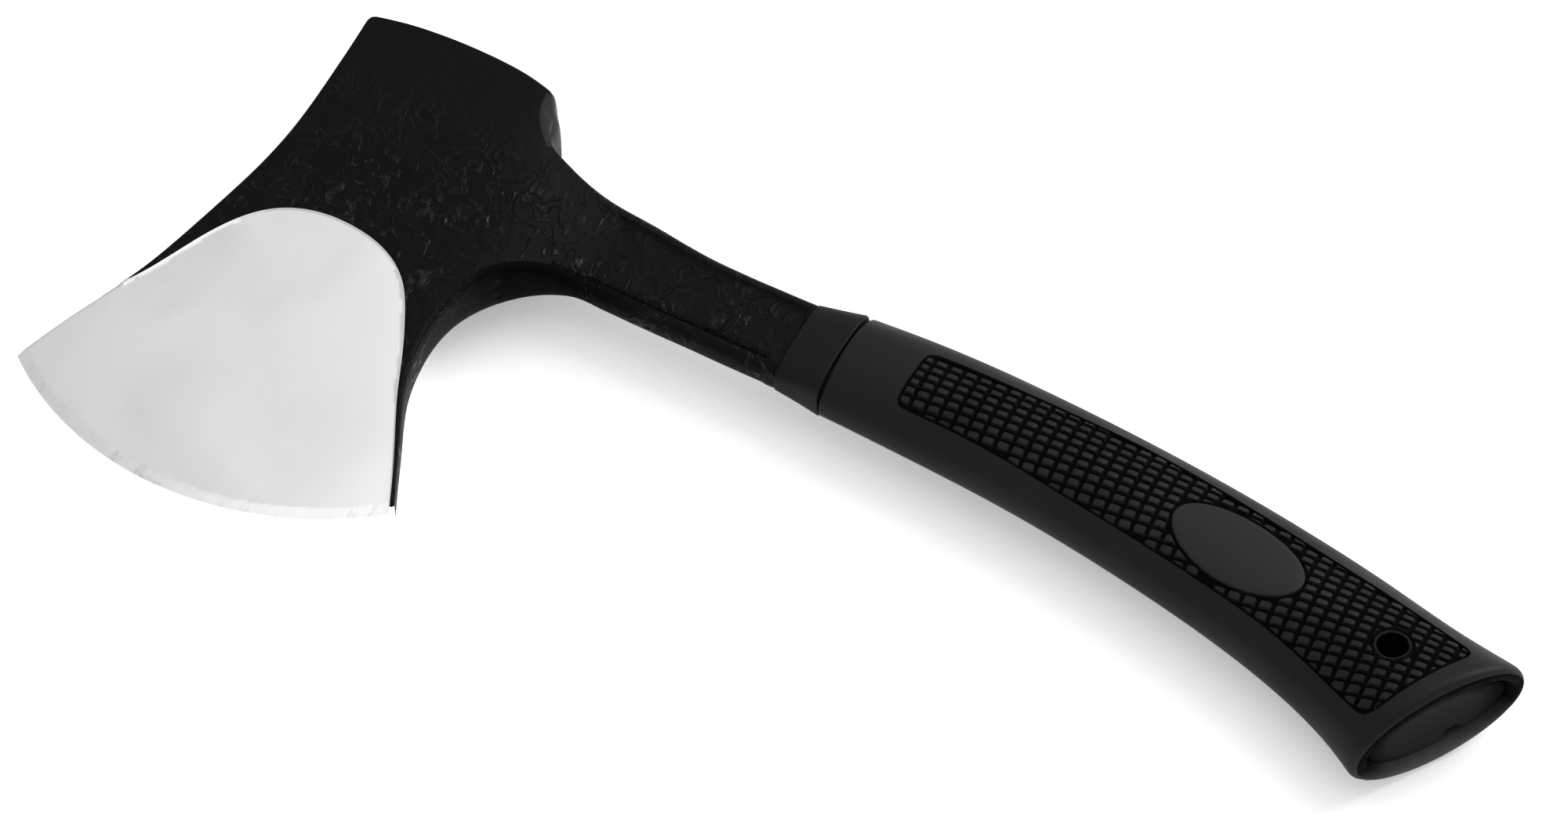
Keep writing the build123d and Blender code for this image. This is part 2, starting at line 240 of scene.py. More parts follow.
class Nodes:
    """A short way to write a material's node tree."""

    def __init__(self, name):
        self.material = bpy.data.materials.new(name)
        self.material.use_nodes = True
        self.tree = self.material.node_tree
        self.shader = self.tree.nodes["Principled BSDF"]
        self.place = self.new("ShaderNodeTexCoord").outputs["Object"]

    def new(self, kind, **settings):
        node = self.tree.nodes.new(kind)
        for key, value in settings.items():
            setattr(node, key, value)
        return node

    def link(self, source, target):
        self.tree.links.new(source, target)

    def scaled(self, scale):
        """Coordinates stretched by a factor along each axis."""
        node = self.new("ShaderNodeMapping")
        node.inputs["Scale"].default_value = scale
        self.link(self.place, node.inputs["Vector"])
        return node.outputs["Vector"]

    def noise(self, scale, detail=4.0, rough=0.55, place=None, distortion=0.0):
        """Noise from 0 to 1 whose features are 1 / scale metres long."""
        node = self.new("ShaderNodeTexNoise")
        node.inputs["Scale"].default_value = scale
        node.inputs["Detail"].default_value = detail
        node.inputs["Roughness"].default_value = rough
        node.inputs["Distortion"].default_value = distortion
        self.link(place or self.place, node.inputs["Vector"])
        return node.outputs["Fac"]

    def ramp(self, value, *stops):
        """A value or colour that follows another: stops are (place, number or colour)."""
        node = self.new("ShaderNodeValToRGB")
        elements = node.color_ramp.elements
        while len(elements) < len(stops):
            elements.new(0.5)
        for element, (place, tone) in zip(elements, stops):
            element.position = place
            element.color = (*tone, 1) if isinstance(tone, tuple) else (tone, tone, tone, 1)
        self.link(value, node.inputs["Fac"])
        return node.outputs["Color"]

    def sum(self, a, b, share=0.5, kind="ADD"):
        """Two values added, or joined as kind says, and then multiplied by share."""
        node = self.new("ShaderNodeMath", operation=kind)
        self.link(a, node.inputs[0])
        if isinstance(b, float):
            node.inputs[1].default_value = b
        else:
            self.link(b, node.inputs[1])
        scaled = self.new("ShaderNodeMath", operation="MULTIPLY")
        scaled.inputs[1].default_value = share
        self.link(node.outputs[0], scaled.inputs[0])
        return scaled.outputs[0]

    def bump(self, height, depth, strength=1.0, before=None):
        """Relief that follows a value, depth metres from 0 to 1."""
        node = self.new("ShaderNodeBump")
        node.inputs["Strength"].default_value = strength
        node.inputs["Distance"].default_value = depth
        self.link(height, node.inputs["Height"])
        if before is not None:
            self.link(before, node.inputs["Normal"])
        return node.outputs["Normal"]

    def finish(self, colour=None, roughness=None, normal=None, **fixed):
        """Links what varies and sets what is the same all over; gives the material."""
        sockets = self.shader.inputs
        for name, value in fixed.items():
            sockets[name.replace("_", " ")].default_value = value
        for name, source in (("Base Color", colour), ("Roughness", roughness), ("Normal", normal)):
            if source is not None:
                self.link(source, sockets[name])
        return self.material


def forged_black(name="forged_black_coat", specular=0.32):
    """Baked black coat over a forging skin that is crinkled below the poll, its ridges painted paler:
    partly wear of the coat, partly painted highlight.
    """
    n = Nodes(name)
    patches = n.noise(95.0, 5.0, 0.6, distortion=0.6)
    grain = n.noise(1900.0, 3.0, 0.6)
    worm = n.noise(190.0, 1.5, 0.5, n.scaled((1.0, 0.8, 1.0)), distortion=1.1)
    split = n.new("ShaderNodeSeparateXYZ")
    n.link(n.place, split.inputs[0])
    below_poll = n.ramp(n.sum(split.outputs["Y"], 0.05, 8.0), (0.62, 1.0), (0.82, 0.04))
    wrinkles = n.ramp(worm, (0.44, 0.0), (0.50, 1.0), (0.56, 0.0))
    where = n.ramp(n.noise(75.0, 3.0, 0.5), (0.40, 0.10), (0.58, 1.0))
    crinkle = n.sum(n.sum(wrinkles, where, 1.0, "MULTIPLY"), below_poll, 1.0, "MULTIPLY")
    # The ridges' paler colour is partly wear of the coat and partly a painted highlight along each ridge.
    ridge_wear_and_glint = n.sum(crinkle, patches, 1.0, "MULTIPLY")
    colour = n.ramp(ridge_wear_and_glint, (0.0, (0.0035, 0.0035, 0.0037)), (0.28, (0.0120, 0.0120, 0.0123)),
                    (0.55, (0.0420, 0.0420, 0.0425)))
    roughness = n.ramp(crinkle, (0.0, 0.46), (0.6, 0.26))
    relief = n.bump(crinkle, 0.00042, 1.0)
    fine = n.bump(grain, 0.00005, 0.4, relief)
    return n.finish(colour, roughness, fine, Specular_IOR_Level=specular)


def painted_shade_black():
    """Painted shade on the coat: near black and matt, for the web's groove and the deepest part of the
    belly side of the neck.
    """
    n = Nodes("black_coat_painted_shade")
    clumps = n.noise(600.0, 4.0, 0.65, distortion=0.8)
    colour = n.ramp(clumps, (0.3, (0.0020, 0.0020, 0.0021)), (0.7, (0.0050, 0.0050, 0.0052)))
    roughness = n.ramp(clumps, (0.3, 0.60), (0.7, 0.44))
    return n.finish(colour, roughness, n.bump(clumps, 0.00012, 0.6), Specular_IOR_Level=0.12)


def ground_steel():
    """Blade face, finely ground, with faint smudges and rub marks."""
    n = Nodes("ground_steel")
    haze = n.noise(28.0, 3.0, 0.5, distortion=0.8)
    rub = n.noise(30.0, 4.0, 0.6, n.scaled((14.0, 1.0, 1.0)))
    colour = n.ramp(haze, (0.25, (0.885, 0.885, 0.882)), (0.60, (0.930, 0.930, 0.926)))
    roughness = n.ramp(n.sum(haze, rub), (0.35, 0.42), (0.65, 0.50))
    return n.finish(colour, roughness, n.bump(rub, 0.00002, 0.5), Metallic=1.0)


def honed_edge():
    """Sharpened bevel: brighter than the face behind it, with uneven stone marks."""
    n = Nodes("honed_edge")
    marks = n.noise(260.0, 4.0, 0.7, n.scaled((1.0, 0.35, 1.0)))
    colour = n.ramp(marks, (0.30, (0.80, 0.80, 0.80)), (0.45, (0.97, 0.97, 0.965)))
    roughness = n.ramp(marks, (0.3, 0.30), (0.7, 0.42))
    return n.finish(colour, roughness, n.bump(marks, 0.00008, 0.6), Metallic=1.0)


def trimmed_steel():
    """Forging flash trimmed off under the poll: grey metal with the coat worn thin."""
    n = Nodes("trimmed_steel")
    wear = n.noise(110.0, 4.0, 0.6, distortion=0.4)
    colour = n.ramp(wear, (0.25, (0.040, 0.040, 0.041)), (0.75, (0.072, 0.072, 0.074)))
    roughness = n.ramp(wear, (0.3, 0.52), (0.7, 0.38))
    return n.finish(colour, roughness, n.bump(wear, 0.00012, 0.5), Metallic=0.75)


def moulded(name, dark, light, rough, grain_scale, grain_depth, specular=0.45):
    """Smooth moulded rubber or plastic with a fine mould grain and handling marks."""
    n = Nodes(name)
    cloud = n.noise(42.0, 4.0, 0.55, distortion=0.4)
    grain = n.noise(grain_scale, 3.0, 0.6)
    scuffs = n.noise(75.0, 5.0, 0.6, n.scaled((0.5, 2.0, 1.0)))
    colour = n.ramp(cloud, (0.3, dark), (0.7, light))
    roughness = n.ramp(scuffs, (0.3, rough - 0.05), (0.7, rough + 0.07))
    relief = n.bump(grain, grain_depth, 0.6)
    return n.finish(colour, roughness, relief, Specular_IOR_Level=specular)


BLACK = forged_black()
STEEL = ground_steel()
HONED = honed_edge()
TRIMMED = trimmed_steel()
PAINTED_SHADE_COAT = painted_shade_black()
# Copies of the coat with less sheen, for painted shade on the belly side of the neck.
DIM_SHADE_COAT = forged_black("forged_coat_painted_dim_shade", 0.25)
DEEP_SHADE_COAT = forged_black("forged_coat_painted_deep_shade", 0.18)
GRIP = moulded("grip_rubber", (0.0225, 0.0230, 0.0235), (0.0300, 0.0305, 0.0310),
               0.46, 2600.0, 5e-5, 0.4)
# Painted shade: the panel's floor between the studs and the lanyard hole's wall are the grip's rubber
# made near black and matt.
PANEL_SHADE_RUBBER = moulded("panel_floor_rubber_painted_shade", (0.0030,) * 3, (0.0050,) * 3, 0.72, 1500.0, 8e-5, 0.12)
STUDS = moulded("stud_rubber", (0.0180,) * 3, (0.0330,) * 3, 0.40, 1800.0, 6e-5, 0.5)
COLLAR = moulded("collar_nylon", (0.0160, 0.0172, 0.0178), (0.0220, 0.0232, 0.0240),
                 0.46, 2200.0, 4e-5, 0.36)
BADGE = moulded("badge_plastic", (0.0520, 0.0520, 0.0525), (0.0570, 0.0570, 0.0576),
                0.55, 3200.0, 2e-5, 0.36)

# ---------------------------------------------------------------- forged head and shank

# Material numbers on the forging, in the order of its material list
COATED, GROUND, BEVELLED, FACETED, SHADED, IN_DIM_SHADE, IN_DEEP_SHADE = range(7)

CHORD = 97.6
EDGE_RADIUS = ((CHORD / 2) ** 2 + EDGE_BULGE**2) / (2 * EDGE_BULGE)
ARC_CENTRE = np.array([CHORD / 2, EDGE_RADIUS - EDGE_BULGE])
BEVEL_RADIUS = EDGE_RADIUS - 2.5
BEVEL_WANDER = 0.45
EDGE_HALF = 0.12
BEVEL_HALF = 0.9
CREST_HALF = 6.2
GRIND_RATE = (CREST_HALF - BEVEL_HALF) / BEVEL_RADIUS**2
POLL_HALF = 10.3
SHANK_HALF = 4.0
CHEEK_HALF_AT_EDGE = 1.25
CHEEK_RATE = 0.0656
CHEEK_TOP = 63.0
POLL_RUN = 41.0
OUTLINE_STEP = 0.9
TIP_WIDTH = 0.06

# The cheeks' border seen from above: u, v, then the width of the rounded side outside it
toe_side = [(0.05, 0.05, 0.06), (6.6, 15.2, 0.35), (13.3, 29.6, 0.7), (17.3, 41.9, 1.0),
            (20.1, 52.9, 1.1), (23.3, 66.7, 1.2), (25.6, 80.5, 1.3), (26.2, 98.0, 1.4),
            (25.1, 117.6, 1.5)]
poll_crown = [(25.1, 117.6, 1.5), (33.5, 119.0, 1.5), (41.5, 119.5, 1.5), (50.0, 119.4, 1.5),
              (58.3, 118.7, 1.6), (66.2, 117.3, 1.9), (73.0, 115.2, 2.3)]
notch = [(73.0, 115.2, 2.4), (73.3, 112.3, 3.8), (74.4, 109.1, 4.7), (76.7, 105.5, 4.0),
         (79.8, 102.3, 2.1), (84.5, 99.8, 2.2), (90.0, 97.8, 2.7), (97.5, 95.8, 3.0),
         (109.5, 94.0, 3.0), (121.5, 91.8, 3.0), (133.5, 90.4, 3.0), (145.5, 89.8, 3.0),
         (160.8, 89.2, 3.0)]
belly = [(160.8, 72.5, 3.0), (145.5, 72.8, 3.0), (133.5, 73.5, 3.0), (121.5, 74.1, 3.0),
         (109.5, 74.9, 3.0), (97.5, 74.4, 3.0), (89.6, 70.7, 3.0), (83.6, 64.6, 2.9),
         (80.2, 57.6, 2.4), (78.9, 47.4, 1.9), (80.0, 38.2, 1.5), (83.5, 27.2, 1.1),
         (89.0, 16.3, 0.7), (93.2, 8.0, 0.4), (97.3, 0.1, 0.06)]
edge_turn = np.arcsin(CHORD / 2 / EDGE_RADIUS)
edge_angles = np.linspace(edge_turn, -edge_turn, 120)[1:-1]
cutting_edge = np.stack([ARC_CENTRE[0] + (EDGE_RADIUS - TIP_WIDTH) * np.sin(edge_angles),
                         ARC_CENTRE[1] - (EDGE_RADIUS - TIP_WIDTH) * np.cos(edge_angles),
                         np.full(len(edge_angles), TIP_WIDTH)], axis=1)


def softened(loop, reach, rounds, ends=True):
    """The line with its sharpest corners eased; an open one keeps its ends."""
    for _ in range(rounds):
        middle = (np.roll(loop, 1, axis=0) + np.roll(loop, -1, axis=0)) / 2
        if not ends:
            middle[[0, -1]] = loop[[0, -1]]
        loop = loop + reach * (middle - loop)
    return loop


upper_line = np.concatenate([through(toe_side, OUTLINE_STEP)[:-1],
                             through(poll_crown, OUTLINE_STEP)[:-1],
                             through(notch, OUTLINE_STEP)])
upper_line = softened(upper_line, 0.35, 2, ends=False)
lower_line = through(belly, OUTLINE_STEP)
cheek_loop = np.concatenate([upper_line, lower_line, cutting_edge])
side_width = cheek_loop[:, 2]
cheek_loop = cheek_loop[:, :2]
side_out = outward(cheek_loop)

# The border of the ground face, from the toe side round to the heel
ground_border = through([(8.0, 21.0), (13.6, 29.3), (18.9, 39.9), (25.4, 52.0), (32.5, 59.2),
                         (41.0, 62.5), (51.3, 62.6), (61.2, 59.8), (68.6, 54.4), (74.3, 45.8),
                         (79.0, 36.3), (83.2, 26.6), (88.5, 16.0), (92.7, 7.6), (97.2, -2.2)], 1.0)
ground_loop = np.concatenate([ground_border, [(130.0, -30.0), (-40.0, -30.0)]])


def bevel_line_radius(angle):
    """The bevel's inner border wanders a little, as a hand-honed one does."""
    wander = [noise.noise((a * 26.0, 3.7, 0.0)) + 0.5 * noise.noise((a * 80.0, 9.1, 0.0))
              for a in angle]
    return BEVEL_RADIUS + BEVEL_WANDER * np.array(wander)


def blade_half(radius, bevel_start):
    """Half the ground blade's thickness at a distance from the edge arc's centre."""
    lens = CREST_HALF - GRIND_RATE * radius**2
    at_start = CREST_HALF - GRIND_RATE * bevel_start**2
    share = (radius - bevel_start) / (EDGE_RADIUS - bevel_start)
    return np.where(radius > bevel_start, at_start + (EDGE_HALF - at_start) * share, lens)


# The shank's sunken web: its borders follow the belly and the spine, a little inside them
WEB_START, WEB_END = 93.0, 154.6
WEB_ROUND = 2.2
WEB_SINK = 0.85
GROOVE_SINK = 1.1
WEB_KNOTS = [93.0, 97.5, 109.5, 121.5, 133.5, 145.5, 160.8]
web_u = np.linspace(WEB_START, WEB_END, 60)
web_low = np.interp(web_u, WEB_KNOTS, [72.9, 74.4, 74.9, 74.1, 73.5, 72.8, 72.5]) + 0.5
web_high = np.interp(web_u, WEB_KNOTS, [96.9, 95.8, 94.0, 91.8, 90.4, 89.8, 89.2]) - 0.2
groove_line = np.stack([web_u[:-3], web_low[:-3]], axis=1)
turns = np.linspace(0, pi / 2, 6)
corner_u = WEB_END - WEB_ROUND
web_loop = np.concatenate([
    groove_line,
    np.stack([corner_u + WEB_ROUND * np.sin(turns),
              web_low[-1] + WEB_ROUND - WEB_ROUND * np.cos(turns)], axis=1),
    np.stack([corner_u + WEB_ROUND * np.cos(turns),
              web_high[-1] - WEB_ROUND + WEB_ROUND * np.sin(turns)], axis=1),
    np.stack([web_u[:-3], web_high[:-3]], axis=1)[::-1],
])
web_steps = np.linalg.norm(web_loop - np.roll(web_loop, 1, axis=0), axis=1)
web_loop = web_loop[web_steps > 1e-4]


def lesser(a, b, blend):
    """The lesser of two heights, with the crease between them rounded."""
    share = np.clip(0.5 + (a - b) / (2 * blend), 0, 1)
    return a * (1 - share) + b * share - blend * share * (1 - share)


def head_half(points):
    """Half the forging's thickness at plan points, before the skin's texture."""
    u, v = points[:, 0], points[:, 1]
    wedge = CHEEK_HALF_AT_EDGE + (v + EDGE_BULGE) * CHEEK_RATE
    share = np.clip((v - CHEEK_TOP) / POLL_RUN, 0, 1)
    level = CHEEK_HALF_AT_EDGE + (CHEEK_TOP + EDGE_BULGE) * CHEEK_RATE
    rise = (level * (2 * share**3 - 3 * share**2 + 1)
            + POLL_RUN * CHEEK_RATE * (share**3 - 2 * share**2 + share)
            + POLL_HALF * (3 * share**2 - 2 * share**3))
    cheek = np.where(v < CHEEK_TOP, wedge, rise)
    shoulder = SHANK_HALF + 8.5 * (1 - smoother((u - 58.0) / 50.0))
    half = lesser(shoulder, cheek, 3.0)
    from_centre = points - ARC_CENTRE
    radius = np.linalg.norm(from_centre, axis=1)
    angle = np.arctan2(from_centre[:, 0], -from_centre[:, 1])
    blade = blade_half(radius, bevel_line_radius(angle))
    depth = np.where(inside(points, ground_loop), distance(points, ground_border), 0.0)
    cut = lesser(blade, half - 0.05, 0.9)
    half = half + (cut - half) * ease(depth / 0.4)
    near = (u > WEB_START - 3) & (u < WEB_END + 3) & (v > 60)
    sunk = np.zeros(len(points))
    if near.any():
        spot = points[near]
        from_rim = distance(spot, web_loop) * np.where(inside(spot, web_loop), 1, -1)
        fade = smoother((spot[:, 0] - WEB_START) / 14.0)
        groove = np.exp(-((distance(spot, groove_line) - 0.1) / 0.6) ** 2)
        sunk[near] = fade * (WEB_SINK * ease((from_rim + 0.4) / 1.1) + GROOVE_SINK * groove)
    return half - sunk


SKIN_SWELL, SKIN_RIDGE = 0.06, 0.2


def skin(points, side, cover):
    """Height of the forging's crinkled skin, for points on one side."""
    u, v = points[:, 0], points[:, 1]
    rough = 0.25 + 0.75 * ease((112.0 - v) / 22.0) + 0.25 * ease((u - 60.0) / 30.0)
    rough = rough * ease((159.0 - u) / 3.0) * cover
    height = np.zeros(len(points))
    for i in np.nonzero(rough > 0.01)[0]:
        p = Vector((u[i], v[i], 40.0 * side))
        warp = 1.6 * noise.noise(p / 5.0)
        ridge = 1 - 2.4 * abs(noise.noise(Vector((p.x / 2.6 + warp, p.y / 3.4 - warp, p.z))))
        patch = ease(0.5 + 1.4 * noise.noise(p / 13.0))
        height[i] = SKIN_SWELL * noise.noise(p / 4.0) + SKIN_RIDGE * patch * max(ridge, 0.0) ** 1.5
    return height * rough


# Plan triangles of the cheeks, with lines along every border and step
PITCH = 0.85
free = hex_points(cheek_loop.min(0), cheek_loop.max(0), PITCH)
free = free[inside(free, cheek_loop)]
bevel_angles = np.linspace(-edge_turn * 0.995, edge_turn * 0.995, 150)
bevel_radii = bevel_line_radius(bevel_angles)
bevel_line = np.stack([ARC_CENTRE[0] + bevel_radii * np.sin(bevel_angles),
                       ARC_CENTRE[1] - bevel_radii * np.cos(bevel_angles)], axis=1)
keep = inside(bevel_line, cheek_loop) & (distance(bevel_line, closed(cheek_loop)) > 0.35)
bevel_line = bevel_line[keep]
across_border = outward(ground_loop)[: len(ground_border)]
border_lines = []
for reach in (0.0, -0.4):
    line = ground_border + reach * across_border
    keep = inside(line, cheek_loop) & (distance(line, closed(cheek_loop)) > 0.2)
    border_lines.append(line[keep])
web_out = outward(web_loop)
web_lines = [web_loop[4:-4] + reach * web_out[4:-4] for reach in (0.5, -0.1, -0.9)]
feature_lines = [bevel_line, *border_lines, *web_lines]
keep = distance(free, closed(cheek_loop)) > 0.45 * PITCH
for line in feature_lines:
    keep &= distance(free, line) > 0.4 * PITCH
free = free[keep]
plan, faces, _ = triangulate(cheek_loop, lines=feature_lines, free=free)
half = head_half(plan)
centres = plan[np.array(faces)].mean(axis=1)
from_centre = centres - ARC_CENTRE
angle = np.arctan2(from_centre[:, 0], -from_centre[:, 1])
ground = inside(centres, ground_loop)
beyond = np.linalg.norm(from_centre, axis=1) > bevel_line_radius(angle)
# The web's groove gets the coat with painted shade.
in_groove = (distance(centres, groove_line) < 0.55) & (centres[:, 0] > WEB_START + 3)
finish = np.where(ground, np.where(beyond, BEVELLED, GROUND), np.where(in_groove, SHADED, COATED))
skin_cover = np.where(inside(plan, ground_loop), 0.0, ease(distance(plan, ground_border) / 2.0))
skin_cover *= ease(distance(plan, closed(cheek_loop)) / 2.5)

head = Shell()
for side in (1, -1):
    height = half + skin(plan, side, skin_cover)
    top = np.column_stack([plan, side * height])
    head.add(top, [f if side > 0 else f[::-1] for f in faces], finish.tolist())

# Rounded sides between the two cheeks, and the finish of each of their faces
SIDE_RINGS = 9
loop_half = head_half(cheek_loop)
squareness = np.interp(side_width, [0.0, 0.6, 1.5, 3.0], [1.0, 0.8, 0.5, 0.85])
poll_share = ease((cheek_loop[:, 1] - 96.0) / 12.0)
squareness = squareness * (1 - poll_share) + 0.55 * poll_share
loop_u, loop_v = cheek_loop.T
under_poll = (loop_u > 72.4) & (loop_v > 102.0)
# Painted shade round the belly side of the neck: the coat steps, with some scatter, to copies with less
# sheen and then to the darkest coat
NECK_START, NECK_END = 78.0, 128.0
SHADE_STEPS = np.array([COATED, IN_DIM_SHADE, IN_DEEP_SHADE, SHADED])
belly_side = (loop_u > NECK_START) & (loop_v < 80.0)
neck_share = np.clip((loop_u - NECK_START) / 9.0, 0, 1) * np.clip((NECK_END - loop_u) / 26.0, 0, 1)
neck_share = neck_share * np.clip((loop_v - 50.0) / 14.0, 0, 1) * belly_side
chance = np.random.default_rng(7)
ground_toe = (loop_u < 10.0) & (loop_v < 21.0)
honed = np.arange(len(cheek_loop)) >= len(cheek_loop) - len(cutting_edge) - 1
for side in (1, -1):
    rings = []
    for turn in np.linspace(0, pi / 2, SIDE_RINGS):
        reach = side_width * np.cos(turn) ** squareness
        rise = loop_half * np.sin(turn) ** squareness
        ring = cheek_loop + side_out * reach[:, None]
        rings.append(np.column_stack([ring, side * rise]))
    per_ring = np.where(under_poll, FACETED, np.where(ground_toe, GROUND, COATED))
    per_ring = np.where(honed, BEVELLED, per_ring)
    wall = np.tile(per_ring, (len(rings) - 1, 1))
    shade_step = np.rint(3 * neck_share + 0.6 * (chance.random(wall.shape) - 0.5))
    wall = np.where(wall == COATED, SHADE_STEPS[np.clip(shade_step, 0, 3).astype(int)], wall)
    head.rings(rings if side > 0 else rings[::-1], wall.ravel().tolist())
head_materials = [BLACK, STEEL, HONED, TRIMMED, PAINTED_SHADE_COAT, DIM_SHADE_COAT, DEEP_SHADE_COAT]
forged_head = head.build("forged_head", head_materials, 40.0)
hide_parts("head_forging")

# ---------------------------------------------------------------- handle sections

# The handle bends round an arc. Its sections have half sizes a across and b up, and lean
# (rake, in degrees) and drop towards the belly near the butt.
HANDLE_U, HANDLE_V = 157.5, 80.95
BEND = 480.0
GRIP_START, GRIP_LENGTH = 10.0, 160.0
knots = GRIP_START + GRIP_LENGTH * np.array([0.0, 0.12, 0.31, 0.5, 0.69, 0.81, 0.91, 1.0])
grip_a = natural_spline(knots, np.array([27.8, 29.5, 30.8, 32.6, 34.6, 36.4, 39.4, 45.8]) / 2)
grip_b = natural_spline(knots, np.array([16.0, 17.6, 19.0, 20.0, 21.4, 23.0, 25.8, 28.35]) / 2)
grip_rake = natural_spline(knots, [0.0, 0.0, 0.0, 0.0, 0.7, 3.5, 9.1, 14.0])
grip_drop = natural_spline(knots, [0.0, 0.0, 0.0, 0.0, 0.0, 0.35, 1.05, 1.4])


def station(s, rake=0.0, drop=0.0):
    """Middle of the section at s along the handle, its way to the spine and its way ahead."""
    s = np.asarray(s, float)
    turn = s / BEND
    reach = BEND - drop
    middle = np.stack([HANDLE_U + reach * np.sin(turn),
                       HANDLE_V - BEND + reach * np.cos(turn)], axis=-1)
    lean = turn + np.radians(rake)
    return (middle, np.stack([np.sin(lean), np.cos(lean)], axis=-1),
            np.stack([np.cos(lean), -np.sin(lean)], axis=-1))


def grip_station(s):
    """station() for the rubber, with its rake and drop."""
    return station(s, grip_rake(s), grip_drop(s))


def grip_place(points):
    """Place along the handle and across it of plan points on the grip."""
    s = np.full(len(points), 80.0)
    for _ in range(40):
        middle, spine_way, ahead = grip_station(s)
        s = np.clip(s + np.sum((points - middle) * ahead, axis=1), 0.0, 175.0)
    middle, spine_way, ahead = grip_station(s)
    return s, np.sum((points - middle) * spine_way, axis=1)


def grip_half(points):
    """Half the grip's thickness at plan points."""
    s, t = grip_place(points)
    return grip_b(s) * np.sqrt(np.clip(1 - (t / grip_a(s)) ** 2, 0, 1))


def section(s, unit, inset=0.0, ahead_by=0.0, place=grip_station, a=grip_a, b=grip_b):
    """Points of one section: unit holds (across, up) on a circle of radius 1."""
    middle, spine_way, ahead = place(s)
    across = (a(s) - inset) * unit[:, 0]
    flat = middle + across[:, None] * spine_way + ahead_by * ahead
    return np.column_stack([flat, (b(s) - inset) * unit[:, 1]])


# ---------------------------------------------------------------- checkered panel

STUD_U, STUD_V = 3.6, 2.4
STUD_GAP = 0.55
STUD_SLOPE = 0.3
PANEL_DEPTH = 0.85
HOLE_RADIUS = 3.5
HOLE_TO_BUTT, BADGE_TO_HOLE = 17.3, 40.8
BADGE_OFFSET = 1.3
hole_centre = station(GRIP_START + GRIP_LENGTH - HOLE_TO_BUTT)[0]
badge_s = GRIP_START + GRIP_LENGTH - HOLE_TO_BUTT - BADGE_TO_HOLE
badge_middle, badge_spine, badge_ahead = station(badge_s)
badge_middle = badge_middle - BADGE_OFFSET * badge_spine
BADGE_A, BADGE_B = 16.7, 8.3


def badge_reach(points):
    """1 on the badge's border, less inside it and more outside."""
    away = points - badge_middle
    return np.hypot(away @ badge_ahead / BADGE_A, away @ badge_spine / BADGE_B)


def ellipse(count, a, b):
    """Plan points of an oval round the badge's middle, a along the handle and b across."""
    turn = np.linspace(0, 2 * pi, count, endpoint=False)
    along, across = np.outer(a * np.cos(turn), badge_ahead), np.outer(b * np.sin(turn), badge_spine)
    return badge_middle + along + across


def circle(count, radius):
    """Plan points of a circle round the lanyard hole."""
    turn = np.linspace(0, 2 * pi, count, endpoint=False)
    return hole_centre + radius * np.stack([np.cos(turn), np.sin(turn)], axis=1)


PANEL_START, PANEL_END = 26.8, 163.7
panel_belly = natural_spline([26.0, 50.0, 72.0, 90.0, 113.0, 128.0, 143.0, 164.0],
                             [-9.2, -9.6, -10.8, -11.4, -12.0, -12.5, -13.7, -16.0])
panel_spine = natural_spline([26.0, 45.0, 60.0, 75.0, 90.0, 130.0, 147.0, 164.0],
                             [7.4, 8.2, 9.0, 10.2, 10.7, 10.9, 12.2, 13.3])


def panel_loop(inset):
    """The panel's outline, with rounded corners."""
    s = np.linspace(PANEL_START + inset, PANEL_END - inset, 110)
    middle, spine_way, _ = grip_station(s)
    upper = middle + (panel_spine(s) - inset)[:, None] * spine_way
    lower = middle + (panel_belly(s) + inset)[:, None] * spine_way
    across = np.linspace(0, 1, 16)[1:-1, None]
    line = np.concatenate([upper, upper[-1] + across * (lower[-1] - upper[-1]), lower[::-1],
                           lower[0] + across * (upper[0] - lower[0])])
    return softened(line, 0.5, 5)


rim_loop = panel_loop(0.0)
floor_loop = panel_loop(0.22)


def clipped(shape, spot, way):
    """The part of a convex outline that lies on the side of spot that way points to."""
    out = []
    reach = (shape - spot) @ way
    for i in range(len(shape)):
        j = (i + 1) % len(shape)
        if reach[i] >= 0:
            out.append(shape[i])
        if (reach[i] >= 0) != (reach[j] >= 0):
            out.append(shape[i] + (shape[j] - shape[i]) * reach[i] / (reach[i] - reach[j]))
    return np.array(out).reshape(-1, 2)


def area(shape):
    """Area of an outline, 0 for one that has been cut away."""
    x, y = shape.T
    return abs(np.sum(x * np.roll(y, -1) - np.roll(x, -1) * y)) / 2 if len(shape) > 2 else 0.0


border_in = -outward(rim_loop)
badge_loop = ellipse(120, BADGE_A, BADGE_B)
badge_out = outward(badge_loop)


def stud(middle, inset):
    """One stud's outline: a cell of the grid, cut back from the border, badge and hole."""
    a, b = STUD_U / 2 - STUD_GAP / 2 - inset, STUD_V / 2 - STUD_GAP / 2 - inset
    cut = 0.3
    shape = middle + np.array([(a, b - cut), (a - cut, b), (cut - a, b), (-a, b - cut),
                               (-a, cut - b), (cut - a, -b), (a - cut, -b), (a, cut - b)])
    for i in np.nonzero(np.linalg.norm(rim_loop - middle, axis=1) < 3.2)[0]:
        shape = clipped(shape, rim_loop[i] + (0.42 + inset) * border_in[i], border_in[i])
        if len(shape) < 3:
            return shape
    i = np.argmin(np.linalg.norm(badge_loop - middle, axis=1))
    shape = clipped(shape, badge_loop[i] + (0.45 + inset) * badge_out[i], badge_out[i])
    if len(shape) < 3:
        return shape
    away = middle - hole_centre
    away = away / (np.linalg.norm(away) + 1e-9)
    return clipped(shape, hole_centre + (HOLE_RADIUS + 0.95 + inset) * away, away)


